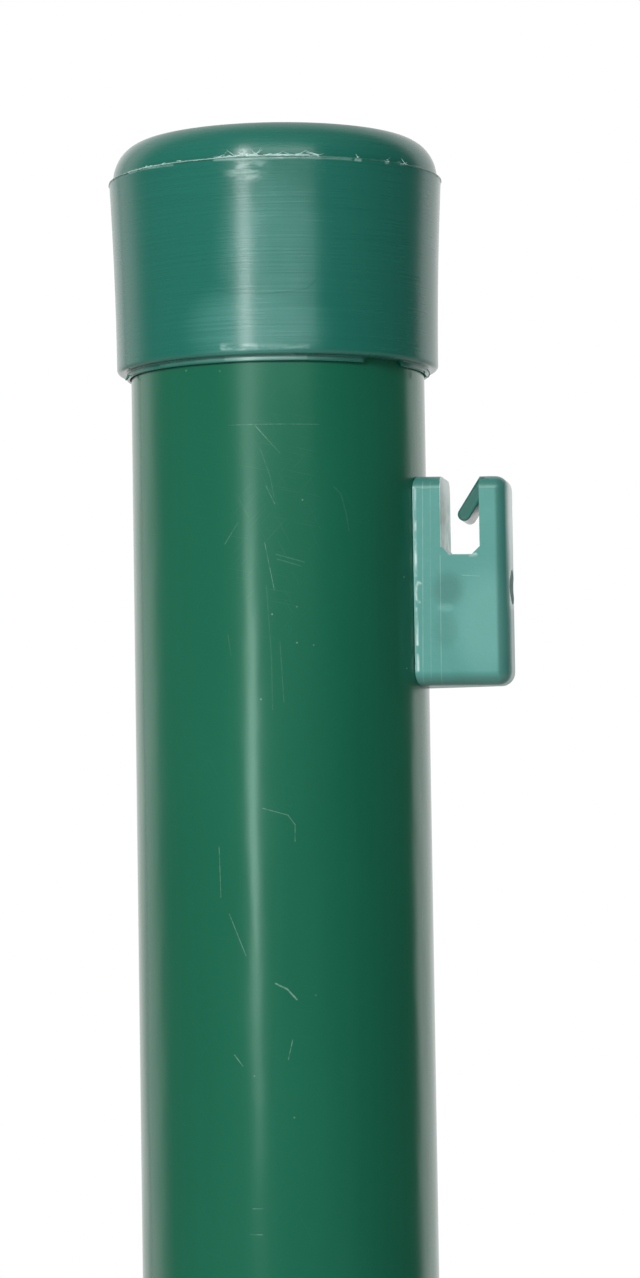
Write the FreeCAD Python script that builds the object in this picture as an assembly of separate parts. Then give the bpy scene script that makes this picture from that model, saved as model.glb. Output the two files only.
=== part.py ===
import FreeCAD, Part
import math
import os

# Fence post of round steel tube, with a push-on plastic cap and three plastic
# wire holders riveted to one side. Millimetres, +Z up, origin on the tube's
# axis at the foot, the wire holders towards +X.

# Tube
tube_diameter = 38.0
tube_wall = 1.25
tube_length = 1500.0

# Cap: a cup that is pushed over the tube's end
cap_fit = 0.05                  # gap between the skirt and the tube
cap_top_thickness = 2.9         # above the tube's end
cap_rim_below_end = 2.0         # the moulding seam lies this far below the tube's end
cap_wall_at_rim = 2.35
cap_wall_at_waist = 1.81        # the upper flank tapers more than the lower one
cap_wall_at_mouth = 1.71
cap_waist_drop = 15.5           # from the seam down to the waist
cap_skirt_height = 24.0         # from the seam down to the outer corner of the mouth
cap_shoulder_radius = 4.5
cap_seam_width = 0.3
cap_seam_stand_off = 0.35
cap_lip_drop = 0.9              # the thin lip hangs this far below the outer corner
cap_lip_thickness = 0.4
cap_mouth_lead_in = 0.15
cap_mouth_lead_height = 0.7
cap_notch_start = -47.0         # where the lip is broken away, in degrees from +X
cap_notch_end = -25.8
cap_notch_height = 0.55

# Wire holder: a wedge of plastic whose slot takes the wire behind a springy tongue
holder_fit = 0.05               # gap between the saddle and the tube
holder_height = 26.8
holder_below_end = 41.0         # from the tube's end to the top of the upper holder
holder_pitch = 475.0
holder_names = ["wire_holder_top", "wire_holder_middle", "wire_holder_bottom"]
holder_root_thickness = 10.8    # across the wedge where it meets the tube
holder_end_thickness = 5.6      # across its outer end
holder_rounding = 1.6
inner_arm = 2.6                 # from the tube to the slot
slot_width = 4.9
outer_arm = 3.6                 # from the slot to the outer end
slot_depth = 10.1
slot_corner_chamfer = 1.0
tongue_thickness = 1.7
tongue_tip_reach = 2.03         # from the outer arm to the middle of the tongue's round tip
tongue_tip_drop = 4.9           # from the holder's top to the same point
tongue_set_in = 0.3             # the tongue is this much narrower on each side
tongue_root_overlap = 0.6

# Blind rivet: a sleeve set from outside, with what is left of its mandrel inside
rivet_above_holder_foot = 12.6
rivet_shank_diameter = 2.4
rivet_hole_gap = 0.05
rivet_head_diameter = 4.4
rivet_head_height = 0.9
rivet_head_edge = 0.3
rivet_well_gap = 0.15           # round the head, in the holder's deep recess
rivet_well_floor = 2.6          # plastic left between the recess and the tube
rivet_bulb_diameter = 3.6
rivet_bulb_length = 2.4
rivet_seat_gap = 0.02           # between the formed end and the tube's inner wall
mandrel_diameter = 1.3
mandrel_gap = 0.02
mandrel_break_depth = 0.5       # the stub ends this far inside the rivet's head
mandrel_head_diameter = 2.2
mandrel_head_length = 0.9

# Worked out from the sizes above
tube_radius = tube_diameter / 2
bore_radius = tube_radius - tube_wall
cap_rim_z = tube_length - cap_rim_below_end
saddle_radius = tube_radius + holder_fit
slot_inner_x = tube_radius + inner_arm
slot_outer_x = slot_inner_x + slot_width
holder_end_x = slot_outer_x + outer_arm
wedge_taper = (holder_root_thickness - holder_end_thickness) / 2 / (holder_end_x - tube_radius)
rivet_hole_radius = rivet_shank_diameter / 2 + rivet_hole_gap
well_radius = rivet_head_diameter / 2 + rivet_well_gap
well_floor_x = tube_radius + rivet_well_floor
bulb_radius = rivet_bulb_diameter / 2
bulb_start_x = math.sqrt(bore_radius ** 2 - bulb_radius ** 2) - rivet_seat_gap
bulb_end_x = bulb_start_x - rivet_bulb_length
mandrel_radius = mandrel_diameter / 2

AXIS_X = FreeCAD.Vector(1, 0, 0)
AXIS_Y = FreeCAD.Vector(0, 1, 0)
AXIS_Z = FreeCAD.Vector(0, 0, 1)
ORIGIN = FreeCAD.Vector(0, 0, 0)


def rz(radius, z):
    """A point of a profile that is turned about the post's axis."""
    return FreeCAD.Vector(radius, 0, z)


def line(start, end):
    return Part.LineSegment(start, end).toShape()


def arc(start, middle, end):
    return Part.Arc(start, middle, end).toShape()


def turned(edges, base=ORIGIN, axis=AXIS_Z, angle=360.0):
    face = Part.Face(Part.Wire(Part.__sortEdges__(edges)))
    return face.revolve(base, axis, angle)


def rod_along_x(radius, start_x, end_x, z):
    start = FreeCAD.Vector(start_x, 0, z)
    return Part.makeCylinder(radius, end_x - start_x, start, AXIS_X)


def holder_top_z(index):
    return tube_length - holder_below_end - index * holder_pitch


def rivet_z(index):
    return holder_top_z(index) - holder_height + rivet_above_holder_foot


def make_tube():
    tube = Part.makeCylinder(tube_radius, tube_length)
    tube = tube.cut(Part.makeCylinder(bore_radius, tube_length))
    for index in range(len(holder_names)):
        tube = tube.cut(rod_along_x(rivet_hole_radius, 0, tube_radius + tube_wall, rivet_z(index)))
    return tube


def make_cap():
    inner_radius = tube_radius + cap_fit
    rim_radius = inner_radius + cap_wall_at_rim
    waist_radius = inner_radius + cap_wall_at_waist
    mouth_radius = inner_radius + cap_wall_at_mouth
    seam_radius = rim_radius + cap_seam_stand_off
    seam_top_z = cap_rim_z + cap_seam_width
    waist_z = cap_rim_z - cap_waist_drop
    corner_z = cap_rim_z - cap_skirt_height
    lip_z = corner_z - cap_lip_drop
    lead_radius = inner_radius + cap_mouth_lead_in
    lip_radius = lead_radius + cap_lip_thickness
    lead_z = lip_z + cap_mouth_lead_height
    top_z = tube_length + cap_top_thickness
    top_radius = rim_radius - cap_shoulder_radius
    shoulder_z = top_z - cap_shoulder_radius
    shoulder_half_way = cap_shoulder_radius * math.sqrt(0.5)
    shoulder_middle = rz(top_radius + shoulder_half_way, shoulder_z + shoulder_half_way)
    edges = [
        line(rz(0, top_z), rz(top_radius, top_z)),
        arc(rz(top_radius, top_z), shoulder_middle, rz(rim_radius, shoulder_z)),
        line(rz(rim_radius, shoulder_z), rz(rim_radius, seam_top_z)),
        line(rz(rim_radius, seam_top_z), rz(seam_radius, cap_rim_z)),
        line(rz(seam_radius, cap_rim_z), rz(rim_radius, cap_rim_z)),
        line(rz(rim_radius, cap_rim_z), rz(waist_radius, waist_z)),
        line(rz(waist_radius, waist_z), rz(mouth_radius, corner_z)),
        line(rz(mouth_radius, corner_z), rz(lip_radius, lip_z)),
        line(rz(lip_radius, lip_z), rz(lead_radius, lip_z)),
        line(rz(lead_radius, lip_z), rz(inner_radius, lead_z)),
        line(rz(inner_radius, lead_z), rz(inner_radius, tube_length)),
        line(rz(inner_radius, tube_length), rz(0, tube_length)),
        line(rz(0, tube_length), rz(0, top_z)),
    ]
    return turned(edges).cut(lip_notch(inner_radius, mouth_radius, lip_z))


def lip_notch(inner_radius, outer_radius, lip_z):
    """The stretch of the lip that is missing, as a piece of ring."""
    low_z = lip_z - cap_lip_drop
    high_z = lip_z + cap_notch_height
    corners = [
        rz(inner_radius - cap_fit, low_z),
        rz(outer_radius, low_z),
        rz(outer_radius, high_z),
        rz(inner_radius - cap_fit, high_z),
    ]
    edges = [line(corners[i - 1], corners[i]) for i in range(len(corners))]
    ring = turned(edges, angle=cap_notch_end - cap_notch_start)
    ring.rotate(ORIGIN, AXIS_Z, cap_notch_start)
    return ring


def wedge_half_thickness(x):
    return holder_root_thickness / 2 - wedge_taper * (x - tube_radius)


def make_wedge(top_z, set_in=0.0):
    """The holder's outer form: tapered in plan, every edge away from the tube rounded."""
    inner_x = tube_radius - tube_wall
    inner_half = wedge_half_thickness(inner_x) - set_in
    outer_half = wedge_half_thickness(holder_end_x) - set_in
    low_z = top_z - holder_height
    plan = [
        FreeCAD.Vector(inner_x, -inner_half, low_z),
        FreeCAD.Vector(holder_end_x, -outer_half, low_z),
        FreeCAD.Vector(holder_end_x, outer_half, low_z),
        FreeCAD.Vector(inner_x, inner_half, low_z),
    ]
    face = Part.Face(Part.makePolygon(plan + plan[:1]))
    block = face.extrude(AXIS_Z * holder_height)
    rounded = [edge for edge in block.Edges if edge.BoundBox.XMax > inner_x + tube_wall]
    return block.makeFillet(holder_rounding, rounded)


def slot_cutter(top_z):
    floor_z = top_z - slot_depth
    above_z = top_z + slot_depth
    reach = holder_root_thickness
    outline = [
        (slot_inner_x, above_z),
        (slot_inner_x, floor_z + slot_corner_chamfer),
        (slot_inner_x + slot_corner_chamfer, floor_z),
        (slot_outer_x - slot_corner_chamfer, floor_z),
        (slot_outer_x, floor_z + slot_corner_chamfer),
        (slot_outer_x, above_z),
    ]
    points = [FreeCAD.Vector(x, -reach, z) for x, z in outline]
    return Part.Face(Part.makePolygon(points + points[:1])).extrude(AXIS_Y * (2 * reach))


def make_tongue(top_z):
    """The springy leaf that leans from the outer arm's top into the slot."""
    tip_radius = tongue_thickness / 2
    reach = holder_root_thickness
    corner = FreeCAD.Vector(slot_outer_x, -reach, top_z)
    tip = FreeCAD.Vector(slot_outer_x - tongue_tip_reach, -reach, top_z - tongue_tip_drop)
    span = tip - corner
    swing = math.asin(tip_radius / span.Length)
    direction = FreeCAD.Vector(span).normalize()
    along = FreeCAD.Rotation(AXIS_Y, math.degrees(swing)).multVec(direction)
    across = AXIS_Y.cross(along)
    outer_touch = tip + across * tip_radius
    inner_touch = tip - across * tip_radius
    root_x = slot_outer_x + tongue_root_overlap
    under_root = inner_touch - along * ((inner_touch.x - root_x) / along.x)
    top_root = FreeCAD.Vector(root_x, -reach, top_z)
    edges = [
        line(corner, outer_touch),
        arc(outer_touch, tip + along * tip_radius, inner_touch),
        line(inner_touch, under_root),
        line(under_root, top_root),
        line(top_root, corner),
    ]
    leaf = Part.Face(Part.Wire(edges)).extrude(AXIS_Y * (2 * reach))
    return leaf.common(make_wedge(top_z, tongue_set_in))


def make_holder(index):
    top_z = holder_top_z(index)
    axis_z = rivet_z(index)
    holder = make_wedge(top_z).cut(slot_cutter(top_z))
    holder = holder.fuse(make_tongue(top_z))
    saddle = Part.makeCylinder(saddle_radius, tube_length)
    holder = holder.cut(saddle)
    holder = holder.cut(rod_along_x(rivet_hole_radius, 0, holder_end_x, axis_z))
    holder = holder.cut(rod_along_x(well_radius, well_floor_x, holder_end_x + outer_arm, axis_z))
    return holder.removeSplitter()


def along_x(x, radius, z):
    """A point of a profile that is turned about a rivet's axis."""
    return FreeCAD.Vector(x, 0, z + radius)


def make_rivet_sleeve(index):
    """Domed head on the recess's floor, shank through plastic and steel, formed end inside."""
    z = rivet_z(index)
    shank = rivet_shank_diameter / 2
    head = rivet_head_diameter / 2
    bore = mandrel_radius + mandrel_gap
    head_top_x = well_floor_x + rivet_head_height
    edge_x = well_floor_x + rivet_head_edge
    dome_start = along_x(edge_x, head, z)
    dome_middle = along_x((edge_x + head_top_x) / 2 + rivet_head_edge / 2, (head + bore) / 2, z)
    dome_end = along_x(head_top_x, bore, z)
    bulb_start = along_x(bulb_start_x, (bulb_radius + shank) / 2, z)
    bulb_middle = along_x((bulb_start_x + bulb_end_x) / 2, bulb_radius, z)
    bulb_end = along_x(bulb_end_x, shank, z)
    edges = [
        line(along_x(well_floor_x, head, z), dome_start),
        arc(dome_start, dome_middle, dome_end),
        line(dome_end, along_x(bulb_end_x, bore, z)),
        line(along_x(bulb_end_x, bore, z), bulb_end),
        arc(bulb_end, bulb_middle, bulb_start),
        line(bulb_start, along_x(bulb_start_x, shank, z)),
        line(along_x(bulb_start_x, shank, z), along_x(well_floor_x, shank, z)),
        line(along_x(well_floor_x, shank, z), along_x(well_floor_x, head, z)),
    ]
    return turned(edges, FreeCAD.Vector(0, 0, z), AXIS_X)


def make_rivet_pin(index):
    """What stays of the mandrel: a stub in the sleeve and its head behind the formed end."""
    z = rivet_z(index)
    stub_end_x = well_floor_x + rivet_head_height - mandrel_break_depth
    head_start_x = bulb_end_x - mandrel_gap - mandrel_head_length
    stub = rod_along_x(mandrel_radius, head_start_x, stub_end_x, z)
    head = rod_along_x(mandrel_head_diameter / 2, head_start_x, head_start_x + mandrel_head_length, z)
    return stub.fuse(head).removeSplitter()


def main():
    os.makedirs("parts", exist_ok=True)
    places = range(len(holder_names))
    nodes = {
        "post_tube": make_tube(),
        "post_cap": make_cap(),
        "rivet_sleeves": Part.makeCompound([make_rivet_sleeve(index) for index in places]),
        "rivet_pins": Part.makeCompound([make_rivet_pin(index) for index in places]),
    }
    for index in places:
        nodes[holder_names[index]] = make_holder(index)
    for name, shape in nodes.items():
        shape.exportStep("parts/" + name + ".step")
        print(name, len(shape.Solids), "solid", shape.isValid(), round(shape.Volume, 1), "mm3")


main()
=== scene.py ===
import math
import random

import bmesh
import bpy
from mathutils import Matrix, Vector, noise


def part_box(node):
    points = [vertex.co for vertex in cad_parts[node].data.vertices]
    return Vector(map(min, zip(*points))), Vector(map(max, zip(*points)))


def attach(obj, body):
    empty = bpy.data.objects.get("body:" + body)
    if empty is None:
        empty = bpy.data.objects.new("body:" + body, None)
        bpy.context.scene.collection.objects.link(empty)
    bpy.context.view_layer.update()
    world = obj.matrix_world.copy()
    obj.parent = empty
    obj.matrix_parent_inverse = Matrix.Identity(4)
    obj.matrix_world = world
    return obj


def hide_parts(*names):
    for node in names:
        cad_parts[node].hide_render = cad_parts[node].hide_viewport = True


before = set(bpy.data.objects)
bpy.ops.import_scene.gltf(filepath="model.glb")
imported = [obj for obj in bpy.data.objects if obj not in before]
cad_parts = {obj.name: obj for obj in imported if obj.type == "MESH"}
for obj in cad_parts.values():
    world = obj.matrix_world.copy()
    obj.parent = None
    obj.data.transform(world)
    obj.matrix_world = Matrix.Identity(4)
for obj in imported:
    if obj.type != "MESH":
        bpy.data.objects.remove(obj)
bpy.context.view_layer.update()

# Everything is modelled in millimetres in the post's own frame and made metres at the end
MM = 0.001
# Edges that turn by more than this stay sharp
sharp_angle = math.radians(30)
# Cutting tools reach this far past what they cut
cut_past = 5
drill_sides = 48

# Tube, from the frame
tube_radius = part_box("post_tube")[1].x / MM
tube_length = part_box("post_tube")[1].z / MM
tube_wall = 1.25
saw_edge = 0.15
tube_spin_steps = 256
rivet_hole_radius = 1.25
# The tube's wall is cut across this far above and below each rivet, so that the holes don't streak it
ring_cut_offset = 3

# Cap
cap_top_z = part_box("post_cap")[1].z / MM
cap_lip_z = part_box("post_cap")[0].z / MM - 0.4
cap_inner_radius = tube_radius + 0.05
cap_rim_radius = cap_inner_radius + 2.5
cap_waist_radius = cap_inner_radius + 1.84
cap_mouth_radius = cap_inner_radius + 1.78
cap_dome_radius = cap_rim_radius - 0.5
cap_shoulder_width = 4.3
cap_shoulder_height = 4.75
cap_crown_z = cap_top_z + 0.32
cap_seam_z = tube_length - 2.0
cap_corner_z = cap_seam_z - 24.6
cap_corner_rounding = 0.6
cap_lip_thickness = 0.4
cap_lip_lead = 0.15
cap_lead_height = 0.7
cap_crown_steps = 4
cap_shoulder_steps = 20
cap_flank_steps = 30
cap_spin_steps = 720
flash_height = 0.22
flash_width = 0.3
notch_start = math.radians(-47.0)
notch_end = math.radians(-25.8)
notch_ramp = math.radians(1.5)

# Wire holders: the frame gives each one's foot and top, and how far they reach
holder_nodes = ["wire_holder_top", "wire_holder_middle", "wire_holder_bottom"]
holder_end_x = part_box("wire_holder_top")[1].x / MM
holder_root_half = 5.75
holder_end_half = 3.3
holder_rounding = 1.75
holder_rounding_steps = 8
holder_root_x = 17.0
holder_height = (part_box("wire_holder_top")[1].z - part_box("wire_holder_top")[0].z) / MM
holder_pitch = (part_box("wire_holder_top")[0].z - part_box("wire_holder_middle")[0].z) / MM
saddle_radius = tube_radius + 0.05
slot_inner_x = tube_radius + 2.6
slot_outer_x = slot_inner_x + 4.85
slot_depth = 10.1
slot_chamfer = 1.0
slot_cut_half = 9
tongue_radius = 0.85
tongue_reach = 2.03
tongue_drop = 4.9
tongue_set_in = 0.75
tongue_rounding = 0.7
tongue_below_top = 0.15
tongue_overlap = 0.6

# Rivets, each in the well in its holder's end, with the end that was pulled up inside the tube
rivet_above_foot = 12.6
well_radius = 2.25
well_floor_x = tube_radius + 2.6
rivet_shank_radius = 1.2
rivet_head_radius = 2.15
rivet_rim_height = 0.3
rivet_crown_height = 0.6
rivet_bore_radius = 0.67
rivet_bulb_radius = 1.8
rivet_bulb_length = 2.4
rivet_gap = 0.02
rivet_bulb_x = math.sqrt((tube_radius - tube_wall) ** 2 - rivet_bulb_radius ** 2) - rivet_gap
mandrel_radius = 0.65
mandrel_head_radius = 1.1
mandrel_head_length = 0.9
mandrel_head_edge = 0.15
mandrel_stub = 0.4
rivet_spin_steps = 64
mandrel_spin_steps = 48

# The camera stands this far round the post from the holders' side, and looks slightly up. Its distance and
# height are in mm, its turn, tilt and roll in radians.
camera_side = math.radians(-80.5)
camera_distance = 544.05
camera_height = 1408.07
camera_turn = 0.0091
camera_tilt = 0.0564
camera_roll = -0.0152
camera_lens = 118.66

# Colours of the finishes, linear: two greens for each that it drifts between, what wear makes of them, and
# painted light and shade
coat_greens = ((0.006, 0.121, 0.065, 1), (0.0085, 0.136, 0.075, 1))
coat_scratched = (0.3, 0.47, 0.4, 1)
cap_greens = ((0.0098, 0.138, 0.101, 1), (0.0118, 0.149, 0.11, 1))
# The scuffed haze on the cap's front, partly painted sheen
cap_haze_and_sheen = (0.24, 0.58, 0.55, 1)
cap_scuffed = (0.008, 0.09, 0.065, 1)
# Whitish flash, with the painted highlights on the cap's rubbed edge and under the seam
cap_white_and_highlight = (0.47, 0.68, 0.63, 1)
holder_greens = ((0.07, 0.29, 0.25, 1), (0.08, 0.32, 0.278, 1))
# Painted highlights on the holders' faces
holder_painted_highlight = (0.2, 0.5, 0.45, 1)
# Painted shade on the holders' roundings, sink marks and tongue
holder_painted_shade = (0.024, 0.135, 0.108, 1)
holder_witness_line = (0.5, 0.72, 0.66, 1)
# Whitish wear, and painted light on the holders' edge by the tube, end faces, wells and slot walls
holder_wear_and_painted_light = (0.7, 0.86, 0.83, 1)
aluminium_grey = (0.77, 0.78, 0.79, 1)
steel_grey = (0.45, 0.45, 0.46, 1)

# The floor, with its half width in metres, and how much paler it is where it is seen, directly or as a
# reflection. That lights nothing.
floor_half = 6.0
floor_colour = (0.88, 0.88, 0.87, 1)
floor_paleness = 0.32


def bmesh_from_outline(points, depth_from, depth_to):
    """A prism whose outline lies in the plane of X and Z, from one Y to another."""
    bm = bmesh.new()
    verts = [bm.verts.new((x, depth_from, z)) for x, z in points]
    face = bm.faces.new(verts)
    grown = bmesh.ops.extrude_face_region(bm, geom=[face])["geom"]
    moved = [item for item in grown if isinstance(item, bmesh.types.BMVert)]
    bmesh.ops.translate(bm, verts=moved, vec=(0, depth_to - depth_from, 0))
    bmesh.ops.recalc_face_normals(bm, faces=bm.faces)
    return bm


def turned(outline, steps, axis=(0, 0, 1), centre=(0, 0, 0)):
    """A closed outline spun about an axis. Points are places, and the last one joins the first."""
    bm = bmesh.new()
    verts = [bm.verts.new(point) for point in outline]
    edges = [bm.edges.new((verts[i - 1], verts[i])) for i in range(len(verts))]
    bmesh.ops.spin(
        bm, geom=verts + edges, cent=centre, axis=axis, angle=2 * math.pi, steps=steps, use_merge=True
    )
    bmesh.ops.remove_doubles(bm, verts=bm.verts, dist=1e-4)
    bmesh.ops.dissolve_degenerate(bm, edges=bm.edges, dist=1e-5)
    bmesh.ops.recalc_face_normals(bm, faces=bm.faces)
    return bm


def arc_points(centre, radius, start, end, steps):
    """Points on an arc, as pairs, with angles in degrees."""
    turns = [math.radians(start + (end - start) * i / steps) for i in range(steps + 1)]
    return [(centre[0] + radius * math.cos(t), centre[1] + radius * math.sin(t)) for t in turns]


def as_object(name, bm):
    mesh = bpy.data.meshes.new(name)
    bm.to_mesh(mesh)
    bm.free()
    thing = bpy.data.objects.new(name, mesh)
    bpy.context.scene.collection.objects.link(thing)
    return thing


def applied(thing):
    """The thing's mesh with its modifiers applied, as a bmesh, and the thing itself removed."""
    bpy.context.view_layer.update()
    evaluated = thing.evaluated_get(bpy.context.evaluated_depsgraph_get())
    bm = bmesh.new()
    bm.from_mesh(evaluated.data)
    bpy.data.objects.remove(thing)
    return bm


def boolean(bm, tool_bm, operation):
    thing = as_object("worked", bm)
    tool = as_object("tool", tool_bm)
    modifier = thing.modifiers.new("boolean", "BOOLEAN")
    modifier.operation = operation
    modifier.solver = "EXACT"
    modifier.object = tool
    result = applied(thing)
    bpy.data.objects.remove(tool)
    return result


def finished(name, bm, material, node):
    """A piece in metres that stands for the node, with its finish."""
    bmesh.ops.scale(bm, vec=(MM, MM, MM), verts=bm.verts)
    piece = as_object(name, bm)
    mesh = piece.data
    mesh.materials.append(material)
    mesh.shade_smooth()
    mesh.set_sharp_from_angle(angle=sharp_angle)
    weighted = piece.modifiers.new("flat faces stay flat", "WEIGHTED_NORMAL")
    weighted.keep_sharp = True
    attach(piece, "root")
    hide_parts(node)


def make_tube():
    outer, inner = tube_radius, tube_radius - tube_wall
    foot, top = 0.0, tube_length
    outline = [
        (inner + saw_edge, foot),
        (outer - saw_edge, foot),
        (outer, foot + saw_edge),
        (outer, top - saw_edge),
        (outer - saw_edge, top),
        (inner + saw_edge, top),
        (inner, top - saw_edge),
        (inner, foot + saw_edge),
    ]
    bm = turned([(r, 0, z) for r, z in outline], tube_spin_steps)
    for node in holder_nodes:
        z = rivet_z(node)
        for level in (z - ring_cut_offset, z + ring_cut_offset):
            bmesh.ops.bisect_plane(
                bm, geom=bm.verts[:] + bm.edges[:] + bm.faces[:], plane_co=(0, 0, level), plane_no=(0, 0, 1)
            )
    for node in holder_nodes:
        drill = rod_along_x(rivet_hole_radius, 0, tube_radius + cut_past, rivet_z(node))
        bm = boolean(bm, drill, "DIFFERENCE")
    finished("coated_tube", bm, tube_coat(), "post_tube")


def rod_along_x(radius, start_x, end_x, z):
    bm = bmesh.new()
    along_x = Matrix.Translation(((start_x + end_x) / 2, 0, z)) @ Matrix.Rotation(math.pi / 2, 4, "Y")
    bmesh.ops.create_cone(
        bm, cap_ends=True, segments=drill_sides, radius1=radius, radius2=radius,
        depth=end_x - start_x, matrix=along_x,
    )
    return bm


def rivet_z(node):
    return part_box(node)[0].z / MM + rivet_above_foot


def cap_outline():
    """The cap's section from the middle of its crown round the lip to the middle of its inside."""
    flat_radius = cap_dome_radius - cap_shoulder_width
    points = [(flat_radius * i / cap_crown_steps, cap_crown_z) for i in range(cap_crown_steps)]
    for across, up in arc_points((0, 0), 1, 90, 0, cap_shoulder_steps):
        points.append((
            flat_radius + cap_shoulder_width * across, cap_crown_z + cap_shoulder_height * (up - 1)
        ))
    flash_tip = cap_rim_radius + flash_height
    points += [
        (cap_dome_radius, cap_seam_z + flash_width),
        (cap_rim_radius + 0.5 * flash_height, cap_seam_z + 0.75 * flash_width),
        (flash_tip, cap_seam_z + 0.45 * flash_width),
        (flash_tip, cap_seam_z + 0.25 * flash_width),
        (cap_rim_radius + 0.4 * flash_height, cap_seam_z + 0.1 * flash_width),
    ]
    for i in range(cap_flank_steps + 1):
        t = i / cap_flank_steps
        r = (1 - t) ** 2 * cap_rim_radius + 2 * t * (1 - t) * cap_waist_radius + t ** 2 * cap_mouth_radius
        points.append((r, cap_seam_z - t * (cap_seam_z - cap_corner_z - cap_corner_rounding)))
    lip_inner = cap_inner_radius + cap_lip_lead
    lip_outer = lip_inner + cap_lip_thickness
    corner = (cap_mouth_radius - cap_corner_rounding, cap_corner_z + cap_corner_rounding)
    points += arc_points(corner, cap_corner_rounding, -10, -90, 8)
    points += [
        (lip_outer + 0.12, cap_corner_z),
        (lip_outer, cap_corner_z - 0.1),
        (lip_outer, cap_lip_z + 0.08),
        (lip_outer - 0.08, cap_lip_z),
        (lip_inner, cap_lip_z),
        (cap_inner_radius, cap_lip_z + cap_lead_height),
        (cap_inner_radius, tube_length),
        (0.0, tube_length),
    ]
    return points


def flash_strength(turn):
    """How much of the moulding flash stands at a turn about the axis: ragged in front, thin elsewhere."""
    from_camera = math.degrees(turn - camera_side)
    from_camera = (from_camera + 180) % 360 - 180
    around = Vector((math.cos(turn), math.sin(turn), 0))
    fine = noise.noise(around * 55) * 0.5 + 0.5
    coarse = noise.noise(around * 9 + Vector((3, 1, 7))) * 0.5 + 0.5
    ragged = math.exp(-((from_camera + 2) / 17) ** 4)
    thin = math.exp(-((from_camera + 35) / 26) ** 4)
    return ragged * (0.35 + 0.9 * fine) + thin * 0.5 + 0.35 * fine * coarse


# Where shreds of flash stand on the seam. Each line has their middle and spread in degrees round the post,
# how many there are, the longest in mm, and how steeply they lean in degrees.
seam_shreds = [
    (-99.0, 1.6, 7, 1.3, 35),
    (-94.5, 2.5, 6, 1.0, 20),
    (-90.5, 2.2, 14, 1.5, 55),
    (-87.0, 2.2, 12, 1.4, 45),
    (-81.0, 4.0, 8, 1.6, 15),
    (-74.0, 4.0, 12, 2.4, 9),
    (-67.5, 2.5, 6, 2.0, 10),
    (-52.0, 0.8, 3, 0.7, 40),
    (-39.0, 0.8, 2, 0.7, 40),
    (-31.0, 1.0, 3, 1.0, 20),
    (-127.0, 9.0, 9, 0.9, 6),
]


def add_shred(shreds, turn, radius, root_z, length, lean, curl, thickness):
    """A thin tapered shred of flash that leaves the cap at a turn, leans along it and curls."""
    earlier = len(shreds.verts)
    made = bmesh.ops.create_cone(
        shreds, cap_ends=True, segments=6, radius1=thickness, radius2=0.3 * thickness, depth=length,
        matrix=Matrix.Translation((0, 0, length / 2)),
    )["verts"]
    edges = dict.fromkeys(edge for vert in made for edge in vert.link_edges)
    long_edges = [edge for edge in edges if edge.calc_length() > 0.9 * length]
    bmesh.ops.subdivide_edges(shreds, edges=long_edges, cuts=5)
    shreds.verts.ensure_lookup_table()
    for vert in shreds.verts[earlier:]:
        share = vert.co.z / length
        here = turn + length * share * math.cos(lean) / radius
        out = radius + vert.co.x + 0.22 * length * share * math.sin(lean) ** 2
        up = root_z + vert.co.y + length * share * math.sin(lean) + curl * length * share ** 2
        vert.co = Vector((out * math.cos(here), out * math.sin(here), up))


def cap_shreds():
    """The loose shreds of flash on the front of the cap's seam."""
    shreds = bmesh.new()
    draw = random.Random(11)
    for middle, spread, count, longest, lean in seam_shreds:
        for _ in range(count):
            turn = math.radians(draw.gauss(middle, 0.6 * spread))
            side = draw.choice((-1, 1))
            leaning = math.radians(draw.uniform(0.2, 1.5) * lean)
            leaning = math.pi - leaning if side < 0 else leaning
            radius = cap_rim_radius + draw.uniform(-0.02, 0.16)
            root_z = cap_seam_z + draw.uniform(0.05, 0.35)
            length = longest * draw.uniform(0.35, 1.0)
            curl = draw.uniform(-0.35, 0.25)
            thickness = draw.uniform(0.035, 0.085)
            add_shred(shreds, turn, radius, root_z, length, leaning, curl, thickness)
    return shreds


# Two curls of flash under the lip, in mm: where each starts, its way across the view and up, its thickness
lip_curls = [
    (
        (19.63, -3.8, 1472.6),
        [(0, 0), (0.08, -0.4), (0.28, -0.76), (0.5, -0.8), (0.7, -0.5), (0.66, -0.1), (0.44, 0.2)],
        0.1,
    ),
    ((-18.2, -7.6, 1472.9), [(0, 0), (-0.12, -0.3), (-0.3, -0.55), (-0.42, -0.62)], 0.16),
]


def lip_curl(start, way, thickness):
    """A thin round thread of flash that follows its way and tapers."""
    sides = 6
    bm = bmesh.new()
    across = Vector((-math.sin(camera_side), math.cos(camera_side), 0))
    away = Vector((-math.cos(camera_side), -math.sin(camera_side), 0))
    places = [Vector(start) + across * x + Vector((0, 0, z)) for x, z in way]
    rings = []
    for index, place in enumerate(places):
        along = (places[min(index + 1, len(places) - 1)] - places[max(index - 1, 0)]).normalized()
        side = along.cross(away).normalized()
        thin = thickness * (1 - 0.5 * index / len(places))
        turns = [2 * math.pi * step / sides for step in range(sides)]
        ring = [bm.verts.new(place + thin * (side * math.cos(t) + away * math.sin(t))) for t in turns]
        rings.append(ring)
    for here, there in zip(rings, rings[1:]):
        for step in range(sides):
            after = (step + 1) % sides
            bm.faces.new((here[step], here[after], there[after], there[step]))
    bm.faces.new(rings[0])
    bm.faces.new(reversed(rings[-1]))
    bmesh.ops.recalc_face_normals(bm, faces=bm.faces)
    return bm


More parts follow.
